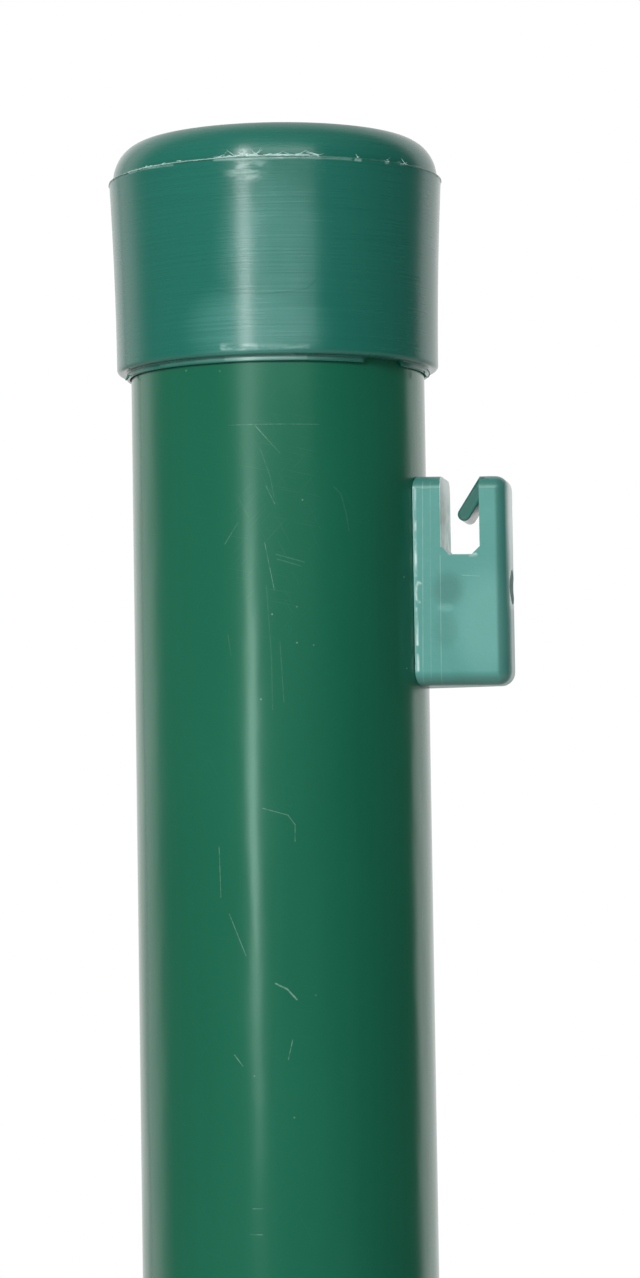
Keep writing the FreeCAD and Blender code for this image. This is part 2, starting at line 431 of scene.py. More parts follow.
def make_cap():
    bm = turned([(r, 0, z) for r, z in cap_outline()], cap_spin_steps)
    burr = bm.verts.layers.float.new("burr")
    lip_outer = cap_inner_radius + cap_lip_lead + cap_lip_thickness
    lip_root_z = cap_corner_z - 0.02
    for vert in bm.verts:
        radius = math.hypot(vert.co.x, vert.co.y)
        turn = math.atan2(vert.co.y, vert.co.x)
        if radius > cap_rim_radius + 0.05:
            share = (radius - cap_rim_radius) / flash_height
            strength = flash_strength(turn)
            grown = (cap_rim_radius + flash_height * share * (0.35 + strength)) / radius
            wave = noise.noise(Vector((vert.co.x, vert.co.y, 0)) * 1.7)
            vert.co.x *= grown
            vert.co.y *= grown
            vert.co.z += share * (0.12 * wave + 0.35 * strength ** 2 * flash_width)
            vert[burr] = share * min(1.0, strength)
        on_lip = vert.co.z < lip_root_z and radius < lip_outer + 0.2
        if on_lip and notch_start < turn < notch_end:
            edge = min(1.0, min(turn - notch_start, notch_end - turn) / notch_ramp)
            vert.co.z += (lip_root_z - vert.co.z) * edge
    for vert in bm.verts:
        vert.tag = True
    add(bm, cap_shreds())
    burr = bm.verts.layers.float["burr"]
    for vert in bm.verts:
        if not vert.tag:
            vert[burr] = 1.0
    for start, way, thickness in lip_curls:
        add(bm, lip_curl(start, way, thickness))
    finished("moulded_cap", bm, cap_plastic(), "post_cap")


def wedge_half(x):
    share = (x - tube_radius) / (holder_end_x - tube_radius)
    return holder_root_half + share * (holder_end_half - holder_root_half)


def wedge(foot_z, top_z):
    """The holder's outer form: tapered in plan and rounded on every edge, also where it meets the tube."""
    bm = bmesh.new()
    bmesh.ops.create_cube(bm, size=1.0)
    for vert in bm.verts:
        x = holder_end_x if vert.co.x > 0 else holder_root_x
        side = 1 if vert.co.y > 0 else -1
        vert.co = Vector((x, side * wedge_half(x), top_z if vert.co.z > 0 else foot_z))
    bmesh.ops.bevel(
        bm, geom=bm.edges[:], offset=holder_rounding, offset_type="OFFSET", segments=holder_rounding_steps,
        profile=0.5, affect="EDGES", material=-1, clamp_overlap=True,
    )
    bmesh.ops.recalc_face_normals(bm, faces=bm.faces)
    return bm


def slot_outline(top_z):
    floor_z = top_z - slot_depth
    above_z = top_z + cut_past
    return [
        (slot_inner_x, above_z),
        (slot_inner_x, floor_z + slot_chamfer),
        (slot_inner_x + slot_chamfer, floor_z),
        (slot_outer_x - slot_chamfer, floor_z),
        (slot_outer_x, floor_z + slot_chamfer),
        (slot_outer_x, above_z),
    ]


def tongue_outline(top_z):
    """The leaf leans from the outer arm's top edge into the slot and ends in a round tip."""
    corner = Vector((slot_outer_x, top_z - tongue_below_top))
    tip = Vector((slot_outer_x - tongue_reach, top_z - tongue_drop))
    span = tip - corner
    lean = math.atan2(span.y, span.x) - math.asin(tongue_radius / span.length)
    across = math.degrees(lean) - 90
    along = Vector((math.cos(lean), math.sin(lean)))
    points = [(corner.x, corner.y)]
    points += arc_points(tip, tongue_radius, across, across + 180, 14)
    under = Vector(points[-1])
    root_x = slot_outer_x + tongue_overlap
    under_root = under - along * ((under.x - root_x) / along.x)
    points.append((root_x, under_root.y))
    points.append((root_x, corner.y))
    return points


def holder_shape(node):
    """One wire holder, in its place on the post."""
    foot_z, top_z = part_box(node)[0].z / MM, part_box(node)[1].z / MM
    axis_z = rivet_z(node)
    bm = wedge(foot_z, top_z)
    slot = bmesh_from_outline(slot_outline(top_z), -slot_cut_half, slot_cut_half)
    bm = boolean(bm, slot, "DIFFERENCE")
    half = wedge_half(slot_outer_x) - tongue_set_in
    leaf = bmesh_from_outline(tongue_outline(top_z), -half, half)
    edges = [edge for edge in leaf.edges if abs(edge.verts[0].co.y - edge.verts[1].co.y) < 0.01]
    bmesh.ops.bevel(
        leaf, geom=edges, offset=tongue_rounding, offset_type="OFFSET", segments=6, profile=0.5,
        affect="EDGES", material=-1, clamp_overlap=True,
    )
    bm = boolean(bm, leaf, "UNION")
    saddle = bmesh.new()
    bmesh.ops.create_cone(
        saddle, cap_ends=True, segments=256, radius1=saddle_radius, radius2=saddle_radius, depth=60,
        matrix=Matrix.Translation((0, 0, (foot_z + top_z) / 2)),
    )
    bm = boolean(bm, saddle, "DIFFERENCE")
    bm = boolean(bm, rod_along_x(rivet_hole_radius, 0, holder_end_x, axis_z), "DIFFERENCE")
    well = rod_along_x(well_radius, well_floor_x, holder_end_x + 3, axis_z)
    return boolean(bm, well, "DIFFERENCE")


def make_holders():
    """The holders are one moulding, so one shape is made and set at each one's height."""
    finish = holder_plastic()
    shape = holder_shape(holder_nodes[0])
    for node in holder_nodes:
        bm = shape.copy()
        rise = (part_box(node)[0].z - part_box(holder_nodes[0])[0].z) / MM
        bmesh.ops.translate(bm, verts=bm.verts, vec=(0, 0, rise))
        finished(node.replace("wire_", "") + "_moulding", bm, finish, node)
    shape.free()


def rivet_outline():
    """A set rivet's section, as distance from the post's axis and radius: its head, shank and bulb."""
    crown_x = well_floor_x + rivet_rim_height
    crown_width = rivet_head_radius - rivet_bore_radius
    outline = [
        (well_floor_x, rivet_shank_radius),
        (well_floor_x, rivet_head_radius),
        (crown_x, rivet_head_radius),
    ]
    for i in range(1, 7):
        t = math.radians(90 * i / 6)
        radius = rivet_bore_radius + crown_width * math.cos(t)
        outline.append((crown_x + rivet_crown_height * math.sin(t), radius))
    outline.append((rivet_bulb_x - rivet_bulb_length, rivet_bore_radius))
    for i in range(9):
        share = i / 8
        swell = math.sin(math.pi * (0.08 + 0.84 * share))
        radius = rivet_shank_radius + (rivet_bulb_radius - rivet_shank_radius) * swell
        outline.append((rivet_bulb_x - rivet_bulb_length * (1 - share), radius))
    outline.append((rivet_bulb_x, rivet_shank_radius))
    return outline


def mandrel_outline():
    """What stays of a rivet's pin: its head behind the bulb, its shank, and its broken end in the well."""
    head_x = rivet_bulb_x - rivet_bulb_length - mandrel_head_length - rivet_gap
    shank_x = head_x + mandrel_head_length
    edge_radius = mandrel_head_radius - mandrel_head_edge
    broken_x = well_floor_x + mandrel_stub
    return [
        (head_x, 0.0),
        (head_x, edge_radius),
        (head_x + mandrel_head_edge, mandrel_head_radius),
        (shank_x - mandrel_head_edge, mandrel_head_radius),
        (shank_x, edge_radius),
        (shank_x, mandrel_radius),
        (broken_x, mandrel_radius),
        (broken_x + 0.1, 0.5),
        (broken_x - 0.05, 0.2),
        (broken_x + 0.05, 0.0),
    ]


def make_rivets():
    sleeves, pins = bmesh.new(), bmesh.new()
    for node in holder_nodes:
        z = rivet_z(node)
        for bm, outline, steps in (
            (sleeves, rivet_outline(), rivet_spin_steps), (pins, mandrel_outline(), mandrel_spin_steps)
        ):
            add(bm, turned([(x, 0, z + r) for x, r in outline], steps, (1, 0, 0), (0, 0, z)))
    aluminium = metal("rivet_aluminium", aluminium_grey, 0.32)
    finished("blind_rivets", sleeves, aluminium, "rivet_sleeves")
    steel = metal("mandrel_steel", steel_grey, 0.4)
    finished("rivet_mandrels", pins, steel, "rivet_pins")


def add(bm, other):
    """Adds the other bmesh's shells to the first one."""
    mesh = bpy.data.meshes.new("part")
    other.to_mesh(mesh)
    other.free()
    bm.from_mesh(mesh)
    bpy.data.meshes.remove(mesh)


def laid_flat(turn, z, radius):
    """Where a place on the post, in degrees round it and height, lies on the unrolled surface."""
    return math.radians(turn) * radius, z


# Where a Mix node keeps its two colours among its inputs, and the mixed one among its outputs
mix_first, mix_second, mix_result = 6, 7, 2


class Network:
    """A node tree under construction: short calls that add and join its nodes."""

    def __init__(self, tree):
        self.nodes = tree.nodes
        self.links = tree.links

    def set(self, socket, value):
        """Joins a node's output to an input, or writes a plain value there."""
        if isinstance(value, bpy.types.NodeSocket):
            self.links.new(value, socket)
        else:
            socket.default_value = value

    def math(self, operation, a, b=0.0, clamp=False):
        made = self.nodes.new("ShaderNodeMath")
        made.operation = operation
        made.use_clamp = clamp
        self.set(made.inputs[0], a)
        self.set(made.inputs[1], b)
        return made.outputs[0]

    def times(self, a, b, clamp=False):
        return self.math("MULTIPLY", a, b, clamp)

    def strongest(self, first, *others):
        for other in others:
            first = self.math("MAXIMUM", first, other)
        return first

    def vector(self, operation, a, b, output="Vector"):
        made = self.nodes.new("ShaderNodeVectorMath")
        made.operation = operation
        self.set(made.inputs[0], a)
        self.set(made.inputs["Scale" if operation == "SCALE" else 1], b)
        return made.outputs[output]

    def parts(self, vector):
        """A vector's X, Y and Z."""
        made = self.nodes.new("ShaderNodeSeparateXYZ")
        self.set(made.inputs[0], vector)
        return made.outputs

    def ramp(self, value, from_min, from_max, to_min=0.0, to_max=1.0, smooth=False):
        made = self.nodes.new("ShaderNodeMapRange")
        made.interpolation_type = "SMOOTHSTEP" if smooth else "LINEAR"
        self.set(made.inputs["Value"], value)
        made.inputs["From Min"].default_value = from_min
        made.inputs["From Max"].default_value = from_max
        made.inputs["To Min"].default_value = to_min
        made.inputs["To Max"].default_value = to_max
        return made.outputs["Result"]

    def mix(self, share, a, b):
        made = self.nodes.new("ShaderNodeMix")
        made.data_type = "RGBA"
        self.set(made.inputs["Factor"], share)
        self.set(made.inputs[mix_first], a)
        self.set(made.inputs[mix_second], b)
        return made.outputs[mix_result]


class Finish(Network):
    """A material, with the patterns that finishes are made from."""

    def __init__(self, name, colour, roughness):
        """The plain colour and roughness are what shows where no pattern is joined to them."""
        self.material = bpy.data.materials.new(name)
        self.material.use_nodes = True
        super().__init__(self.material.node_tree)
        self.shader = self.nodes["Principled BSDF"]
        self.shader.inputs["Base Color"].default_value = colour
        self.shader.inputs["Roughness"].default_value = roughness
        self.place = self.nodes.new("ShaderNodeTexCoord").outputs["Object"]

    def grain(self, scale, stretch=(1, 1, 1), detail=3.0, roughness=0.5, shift=(0, 0, 0)):
        """Noise over the piece. The scale is in cycles for each metre."""
        mapping = self.nodes.new("ShaderNodeMapping")
        self.set(mapping.inputs["Vector"], self.place)
        mapping.inputs["Scale"].default_value = [scale * part for part in stretch]
        mapping.inputs["Location"].default_value = shift
        made = self.nodes.new("ShaderNodeTexNoise")
        made.inputs["Scale"].default_value = 1.0
        made.inputs["Detail"].default_value = detail
        made.inputs["Roughness"].default_value = roughness
        self.set(made.inputs["Vector"], mapping.outputs["Vector"])
        return made.outputs["Fac"]

    def flat(self, across, up):
        """A place on a surface that is seen flat, in millimetres."""
        made = self.nodes.new("ShaderNodeCombineXYZ")
        self.set(made.inputs["X"], across)
        self.set(made.inputs["Y"], up)
        return made.outputs[0]

    def unrolled(self, radius):
        """The surface laid flat, in millimetres: round the post from +X, and up from the foot."""
        place = self.parts(self.place)
        turn = self.math("ARCTAN2", place["Y"], place["X"])
        return self.flat(self.times(turn, radius), self.math("DIVIDE", place["Z"], MM))

    def stroke(self, flat, start, end, half_width, strength=1.0):
        """A straight scratch on the flat surface, fading out at its sides."""
        start, end = Vector((*start, 0)), Vector((*end, 0))
        length = (end - start).length
        unit = (end - start) / length
        from_start = self.vector("SUBTRACT", flat, start)
        along = self.vector("DOT_PRODUCT", from_start, unit, "Value")
        nearest = self.vector("SCALE", unit, self.ramp(along, 0.0, length, 0.0, length))
        away = self.vector("LENGTH", self.vector("SUBTRACT", from_start, nearest), (0, 0, 0), "Value")
        return self.ramp(away, 0.0, half_width, strength, 0.0)

    def strokes(self, flat, marks, radius=None):
        """The strongest of many scratches. With a radius, each mark is given in degrees round the post."""
        made = []
        for points, half_width, strength in marks:
            if radius is not None:
                points = [laid_flat(turn, z, radius) for turn, z in points]
            for start, end in zip(points, points[1:]):
                made.append(self.stroke(flat, start, end, half_width, strength))
        return self.strongest(*made)

    def patch(self, flat, centre, half_size, strength=1.0):
        """A soft oval patch on the flat surface, at full strength over the middle third."""
        shifted = self.vector("SUBTRACT", flat, (*centre, 0))
        scaled = self.vector("MULTIPLY", shifted, (1 / half_size[0], 1 / half_size[1], 0))
        away = self.vector("LENGTH", scaled, (0, 0, 0), "Value")
        return self.ramp(away, 0.35, 1.0, strength, 0.0, smooth=True)

    def hairs(self, flat, slant, seed):
        """Very fine scratches that all lie one way, as from handling."""
        length, spacing = 7.0, 0.16
        mapping = self.nodes.new("ShaderNodeMapping")
        self.set(mapping.inputs["Vector"], flat)
        mapping.vector_type = "TEXTURE"
        mapping.inputs["Rotation"].default_value = (0, 0, math.radians(slant))
        mapping.inputs["Scale"].default_value = (length, spacing, 1)
        mapping.inputs["Location"].default_value = (seed, seed, seed)
        made = self.nodes.new("ShaderNodeTexNoise")
        made.inputs["Scale"].default_value = 1.0
        made.inputs["Detail"].default_value = 1.0
        self.set(made.inputs["Vector"], mapping.outputs["Vector"])
        return self.ramp(made.outputs["Fac"], 0.66, 0.74)

    def bump(self, height, strength, distance):
        made = self.nodes.new("ShaderNodeBump")
        made.inputs["Strength"].default_value = strength
        made.inputs["Distance"].default_value = distance
        self.set(made.inputs["Height"], height)
        self.set(self.shader.inputs["Normal"], made.outputs["Normal"])

    def surface(self, colour, roughness):
        """Joins what was made for the colour and the roughness to the shader."""
        self.set(self.shader.inputs["Base Color"], colour)
        self.set(self.shader.inputs["Roughness"], roughness)


# Scratches in the coat, each as its points (degrees round the post, height in mm), half width, strength
tube_scratches = [
    ([(-100.0, 1464.8), (-65.0, 1464.7)], 0.07, 0.26),
    ([(-89.3, 1464.6), (-85.2, 1463.0)], 0.07, 0.32),
    ([(-85.2, 1463.0), (-80.1, 1461.1)], 0.07, 0.18),
    ([(-96.6, 1452.5), (-101.9, 1449.9)], 0.08, 0.27),
    ([(-85.6, 1457.0), (-82.3, 1454.7)], 0.08, 0.3),
    ([(-86.4, 1449.9), (-83.0, 1443.9)], 0.07, 0.3),
    ([(-82.2, 1448.4), (-71.6, 1447.4)], 0.1, 0.18),
    ([(-81.8, 1447.8), (-72.8, 1446.9)], 0.1, 0.14),
    ([(-88.5, 1416.7), (-79.1, 1415.8), (-76.5, 1414.6), (-76.6, 1412.5)], 0.07, 0.4),
    ([(-106.1, 1412.1), (-105.6, 1405.7)], 0.07, 0.4),
    ([(-102.2, 1403.6), (-95.8, 1398.4)], 0.08, 0.4),
    ([(-84.6, 1394.9), (-80.3, 1394.2), (-76.8, 1392.9)], 0.14, 0.9),
    ([(-100.9, 1386.1), (-97.6, 1384.7)], 0.08, 0.6),
    ([(-78.6, 1387.9), (-80.3, 1385.5)], 0.08, 0.5),
    ([(-94.5, 1367.1), (-90.7, 1367.1)], 0.07, 0.5),
    ([(-95.8, 1363.9), (-90.8, 1363.9)], 0.07, 0.5),
]
tube_faint_scratches = [
    ([(-59.8, 1457.0), (-56.6, 1456.0), (-54.6, 1453.7), (-53.4, 1451.4)], 0.12, 0.1),
    ([(-81.2, 1437.5), (-80.6, 1433.9), (-80.0, 1429.9)], 0.08, 0.14),
    ([(-101.2, 1438.5), (-100.1, 1435.9)], 0.08, 0.16),
    ([(-87.5, 1461.6), (-84.0, 1458.2), (-82.6, 1455.6)], 0.1, 0.12),
    ([(-86.0, 1444.5), (-84.5, 1436.0), (-84.3, 1429.0)], 0.1, 0.1),
]
tube_specks = [
    (-69.6, 1393.4), (-78.4, 1378.3), (-93.3, 1383.5), (-25.1, 1445.9), (-24.1, 1434.3), (-118.0, 1472.1),
    (-103.1, 1471.7), (-71.9, 1455.2), (-74.6, 1441.8), (-84.0, 1440.9), (-74.8, 1437.3), (-88.7, 1430.3),
    (-68.4, 1437.0),
]


def tube_coat():
    """Glossy green coating, a little uneven as it flowed, with fine pale scratches."""
    finish = Finish("tube_coat", (0.009, 0.158, 0.086, 1), 0.2)
    flow = finish.grain(170, (1, 1, 0.35), 1.5)
    tint = finish.grain(45, (1, 1, 0.4), 3.0, shift=(4, 2, 1))
    colour = finish.mix(finish.ramp(tint, 0.3, 0.7), *coat_greens)
    flat = finish.unrolled(tube_radius)
    specks = [([(turn, z), (turn + 0.05, z)], 0.15, 0.55) for turn, z in tube_specks]
    scratched = finish.strokes(flat, tube_scratches + tube_faint_scratches + specks, tube_radius)
    breaks = finish.ramp(finish.grain(1400, detail=2.0), 0.35, 0.6, 0.35, 1.0)
    scratched = finish.times(scratched, breaks)
    slants_and_seeds = ((-62, 3), (-12, 8), (48, 15))
    hairs = finish.strongest(*[finish.hairs(flat, slant, seed) for slant, seed in slants_and_seeds])
    rubbed = finish.patch(flat, laid_flat(-83.0, 1454.0, tube_radius), (9.0, 24.0), 0.05)
    hairs = finish.times(hairs, finish.strongest(rubbed, 0.012))
    worn = finish.strongest(scratched, hairs)
    finish.surface(finish.mix(worn, colour, coat_scratched), finish.ramp(worn, 0.0, 0.6, 0.2, 0.42))
    finish.shader.inputs["IOR"].default_value = 1.6
    finish.shader.inputs["Specular Tint"].default_value = (0.72, 1.0, 0.9, 1)
    finish.bump(flow, 0.3, 0.0004)
    return finish.material


# Marks on the cap, written as the tube's are: a faint scuffed arc and the rubbed lower edge on its skirt,
# whose pale line is also a painted highlight, the pale lip under it, and the whitish stretches of the seam
cap_scuff_arc = [
    ([(-102.2, 1481.7), (-95.8, 1481.1), (-84.5, 1480.9), (-75.5, 1481.2), (-70.2, 1481.5), (-66.7, 1482.7)],
     0.12, 1.0),
]
cap_edge_rub_and_highlight = [
    ([(-99.5, 1474.5), (-92.0, 1474.35)], 0.6, 0.9),
    ([(-92.0, 1474.35), (-88.0, 1474.3)], 0.55, 0.7),
    ([(-88.0, 1474.3), (-70.0, 1474.2)], 0.5, 0.25),
]
cap_lip_line = [
    ([(-100.0, 1473.1), (-70.0, 1473.1)], 0.32, 0.5),
    ([(-112.0, 1473.1), (-60.0, 1473.1)], 0.3, 0.2),
    ([(-130.0, 1473.1), (-48.0, 1473.1)], 0.3, 0.16),
]
seam_line = [
    ([(-139.9, 1498.15), (-130.2, 1498.2), (-117.4, 1498.0)], 0.3, 1.0),
    ([(-101.0, 1498.1), (-90.0, 1498.0), (-78.0, 1497.95)], 0.34, 0.6),
    ([(-78.0, 1497.95), (-65.0, 1498.0)], 0.3, 0.42),
    ([(-65.0, 1498.0), (-54.0, 1498.0)], 0.25, 0.3),
    ([(-52.4, 1498.0), (-50.5, 1498.0)], 0.3, 0.6),
    ([(-39.9, 1498.1), (-39.1, 1498.1)], 0.34, 0.7),
    ([(-32.6, 1498.2), (-31.5, 1498.3)], 0.34, 0.7),
]


def cap_plastic():
    """Green moulded plastic, finely brushed round the skirt, with whitish flash on the seam, and painted
    sheen and highlights on its front.
    """
    finish = Finish("cap_plastic", (0.014, 0.155, 0.11, 1), 0.27)
    flat = finish.unrolled(cap_rim_radius)
    streaks = finish.grain(900, (0.05, 0.05, 4.0), 4.0, 0.6)
    cloud = finish.grain(120, (1, 1, 0.6), 3.0)
    torn = finish.grain(700, (0.5, 0.5, 2.2), 3.0, 0.6)

    # A scuffed haze on the skirt's front that is partly painted sheen, and a lower patch that is a painted
    # highlight by the mouth
    haze_and_sheen = finish.patch(flat, laid_flat(-82.0, 1485.5, cap_rim_radius), (8.5, 13.5))
    haze_and_sheen = finish.times(haze_and_sheen, finish.ramp(cloud, 0.3, 0.6, 0.5, 1.0))
    low_haze_and_sheen = finish.patch(flat, laid_flat(-88.0, 1477.0, cap_rim_radius), (11.5, 7.0))
    haze_and_sheen = finish.times(finish.strongest(haze_and_sheen, low_haze_and_sheen), finish.ramp(streaks, 0.35, 0.7, 0.13, 0.22))
    scuff = finish.times(finish.strokes(flat, cap_scuff_arc, cap_rim_radius), 0.45)
    colour = finish.mix(finish.ramp(streaks, 0.35, 0.75), *cap_greens)
    colour = finish.mix(haze_and_sheen, colour, cap_haze_and_sheen)
    colour = finish.mix(scuff, colour, cap_scuffed)

    # The rubbed lower edge, made paler also as a painted highlight along the skirt's corner
    rub_and_highlight = finish.times(finish.strokes(flat, cap_edge_rub_and_highlight, cap_rim_radius), finish.ramp(torn, 0.4, 0.6))
    # A painted highlight just under the seam, where a lamp's reflection stands on the skirt
    highlight_blotch = finish.patch(flat, laid_flat(-90.2, 1496.7, cap_rim_radius), (3.5, 2.2))
    highlight_blotch = finish.times(finish.times(highlight_blotch, finish.ramp(torn, 0.42, 0.68)), 0.6)
    seam = finish.strokes(flat, seam_line, cap_rim_radius)
    seam = finish.times(seam, finish.ramp(torn, 0.35, 0.55, 0.3, 1.0))
    lip = finish.strokes(flat, cap_lip_line, cap_rim_radius)
    lip = finish.times(lip, finish.ramp(cloud, 0.35, 0.6, 0.5, 1.0))
    burr = finish.nodes.new("ShaderNodeAttribute")
    burr.attribute_name = "burr"
    burr = finish.ramp(burr.outputs["Fac"], 0.15, 0.85)
    # Whitish flash, seam and lip, with the painted highlights of the rubbed edge and the blotch
    whitened_and_highlit = finish.strongest(burr, rub_and_highlight, highlight_blotch, seam, lip)

    streaky = finish.ramp(streaks, 0.3, 0.7, 0.25, 0.29)
    cloudy = finish.ramp(cloud, 0.3, 0.7, -0.03, 0.03)
    finish.surface(finish.mix(whitened_and_highlit, colour, cap_white_and_highlight), finish.math("ADD", streaky, cloudy))
    finish.shader.inputs["Anisotropic"].default_value = 0.75
    finish.set(finish.shader.inputs["Tangent"], finish.vector("ADD", finish.place, (0, 0, 1)))
    on_skirt = finish.ramp(finish.parts(flat)["Y"], cap_seam_z, cap_seam_z + 0.6, 1.0, 0.2)
    finish.bump(finish.times(streaks, on_skirt), 0.2, 0.0001)
    return finish.material


# Witness lines of the mould on the holder's flanks. Their points are the distance from the post's axis and
# the height above the holder's foot.
holder_lines = [
    ([(21.4, 0.2), (21.5, 16.6)], 0.08, 0.3),
    ([(20.1, 0.3), (20.4, 26.0)], 0.1, 0.12),
    ([(19.1, 0.3), (19.45, 26.0)], 0.09, 0.3),
    ([(24.2, 14.0), (26.4, 13.85)], 0.07, 0.3),
    ([(21.6, 17.7), (21.6, 26.8)], 0.1, 1.0),
    ([(22.6, 16.72), (26.0, 16.72)], 0.2, 0.5),
]
# Whitish wear on the slot's floor, a painted highlight with some wear along the edge by the tube, and a small
# bow where the mould was filled
holder_edge_wear_and_highlight = [
    ([(18.5, 1.9), (18.48, 3.9)], 0.26, 0.8),
    ([(18.48, 5.2), (18.46, 9.8)], 0.24, 0.75),
    ([(18.45, 14.0), (18.45, 21.0)], 0.24, 0.75),
    ([(18.45, 21.0), (18.5, 25.0)], 0.2, 0.4),
    ([(18.95, 13.0), (18.7, 13.15), (18.5, 12.6), (18.43, 11.8), (18.5, 11.0), (18.8, 10.6)], 0.24, 1.0),
    ([(25.3, 16.5), (26.0, 16.6)], 0.3, 0.6),
]


def holder_plastic():
    """Satin green moulded plastic with a slight grain, witness lines of the mould, small marks, and painted
    highlights, sheen and shade.
    """
    finish = Finish("holder_plastic", (0.055, 0.225, 0.18, 1), 0.34)
    finish.shader.inputs["IOR"].default_value = 1.6
    grain = finish.grain(1500, detail=3.0)
    cloud = finish.grain(160, (1, 1, 0.5), 3.0)
    place = finish.parts(finish.place)
    out = finish.math("DIVIDE", place["X"], MM)
    depth = finish.math("ABSOLUTE", finish.math("DIVIDE", place["Y"], MM))
    # The holders stand a pitch apart, so a height above the lowest one's foot gives the height on each
    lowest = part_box("wire_holder_bottom")[0].z
    above_foot = finish.math("DIVIDE", finish.math("SUBTRACT", place["Z"], lowest), MM)
    up = finish.math("MODULO", above_foot, holder_pitch)
    flat = finish.flat(out, up)

    # Painted highlights: the sheen on a shallow sink mark, and the brighter lower part of the face
    paler = finish.strongest(
        finish.patch(flat, (22.2, 9.9), (1.5, 0.8), 0.35), finish.patch(flat, (27.2, 7.6), (5.5, 9.5), 0.36)
    )
    # Painted shade on the roundings at the end, the foot and the top
    rounding_x = holder_end_x - holder_rounding
    rounded = (
        finish.ramp(out, rounding_x - 0.05, rounding_x + 0.35, 0.0, 0.6),
        finish.ramp(up, 1.6, 0.9, 0.0, 0.5),
        finish.ramp(up, holder_height - 1.9, holder_height - 1.2, 0.0, 0.5),
    )
    # Painted shade round the sink marks in the face
    sink_mark_shade = (
        finish.patch(flat, (22.4, 12.2), (2.6, 3.0), 0.42), finish.patch(flat, (22.0, 7.0), (2.2, 3.4), 0.22)
    )
    # Painted shade on the tongue, which below is also given a smoother finish
    tongue_half = 3.4
    tongue_shade = finish.strokes(flat, [([(26.3, 25.8), (24.2, 22.2)], 2.2, 1.4)])
    tongue_shade = finish.times(tongue_shade, finish.ramp(depth, tongue_half, tongue_half + 0.1, 1.0, 0.0), clamp=True)
    lines = finish.strokes(flat, holder_lines)
    lines = finish.times(lines, finish.ramp(finish.grain(500, detail=2.0), 0.35, 0.6, 0.4, 1.0))
    colour = finish.mix(finish.ramp(cloud, 0.3, 0.7), *holder_greens)
    colour = finish.mix(paler, colour, holder_painted_highlight)
    colour = finish.mix(finish.strongest(tongue_shade, *sink_mark_shade, *rounded), colour, holder_painted_shade)
    colour = finish.mix(lines, colour, holder_witness_line)

    broken = finish.ramp(finish.grain(900, (1, 1, 0.5), 2.0), 0.4, 0.6, 0.15, 1.0)
    # Wear, and the painted highlight along the edge by the tube, broken up
    worn_and_highlit_edge = finish.times(finish.strokes(flat, holder_edge_wear_and_highlight), broken)
    # Painted light on the end face, stronger towards the top
    lit_end_face = finish.ramp(out, holder_end_x - 0.5, holder_end_x - 0.1)
    lit_end_face = finish.times(lit_end_face, finish.ramp(up, 8.0, 21.0, 0.1, 1.0))
    # Painted light inside the rivet's well
    well = finish.ramp(depth, well_radius + 0.02, well_radius + 0.1, 0.8, 0.0)
    well = finish.times(well, finish.patch(flat, (holder_end_x, rivet_above_foot), (9.0, 4.0)))
    # Painted light on the top of the slot's inner wall
    lit_slot_wall = finish.patch(flat, (slot_inner_x, 28.0), (1.2, 5.0))
    lit_slot_wall = finish.times(lit_slot_wall, finish.ramp(out, slot_inner_x - 0.03, slot_inner_x - 0.01))
    # Whitish wear, with the painted light of the edge by the tube, the end face, the well and the slot's wall
    whitened_and_highlit = finish.strongest(worn_and_highlit_edge, lit_end_face, well, lit_slot_wall)
    finish.surface(finish.mix(whitened_and_highlit, colour, holder_wear_and_painted_light), finish.ramp(tongue_shade, 0.3, 0.8, 0.34, 0.16))
    finish.bump(grain, 0.1, 0.0002)
    return finish.material


def metal(name, colour, roughness):
    """Plain metal, finely drawn along its length."""
    finish = Finish(name, colour, roughness)
    finish.shader.inputs["Metallic"].default_value = 1.0
    drawn = finish.grain(3000, (0.1, 1, 1), 3.0)
    rough = finish.ramp(drawn, 0.3, 0.7, roughness - 0.08, roughness + 0.1)
    finish.set(finish.shader.inputs["Roughness"], rough)
    finish.bump(drawn, 0.08, 0.0001)
    return finish.material


def make_camera():
    looking = camera_side + math.pi - camera_turn
    forward = Vector((
        math.cos(camera_tilt) * math.cos(looking),
        math.cos(camera_tilt) * math.sin(looking),
        math.sin(camera_tilt),
    ))
    data = bpy.data.cameras.new("camera")
    data.lens = camera_lens
    data.sensor_width = 36.0
    data.dof.use_dof = False
    camera = bpy.data.objects.new("camera", data)
    turn = forward.to_track_quat("-Z", "Y").to_matrix() @ Matrix.Rotation(camera_roll, 3, "Z")
    place = Vector((
        camera_distance * math.cos(camera_side), camera_distance * math.sin(camera_side), camera_height
    ))
    camera.matrix_world = Matrix.Translation(place * MM) @ turn.to_4x4()
    bpy.context.scene.collection.objects.link(camera)
    bpy.context.scene.camera = camera


# What glossy surfaces see round the post, as degrees round it from +X and how light it is there: a white
# backdrop behind the post, with a narrow gap in it, and a dim room on the camera's side
studio_walls = [
    (-180, 0.2), (-105, 0.2), (-80, 0.12), (-20, 0.06), (37, 0.07), (38.5, 0.2), (46, 1.12),
    (138.0, 1.05), (138.7, 0.08), (140.3, 0.08), (141.0, 1.05), (158, 0.95), (168, 0.45), (176, 0.2),
]
studio_ceiling = (0.3, 0.3, 0.3, 1)
white = (1, 1, 1, 1)
world_light = 0.25


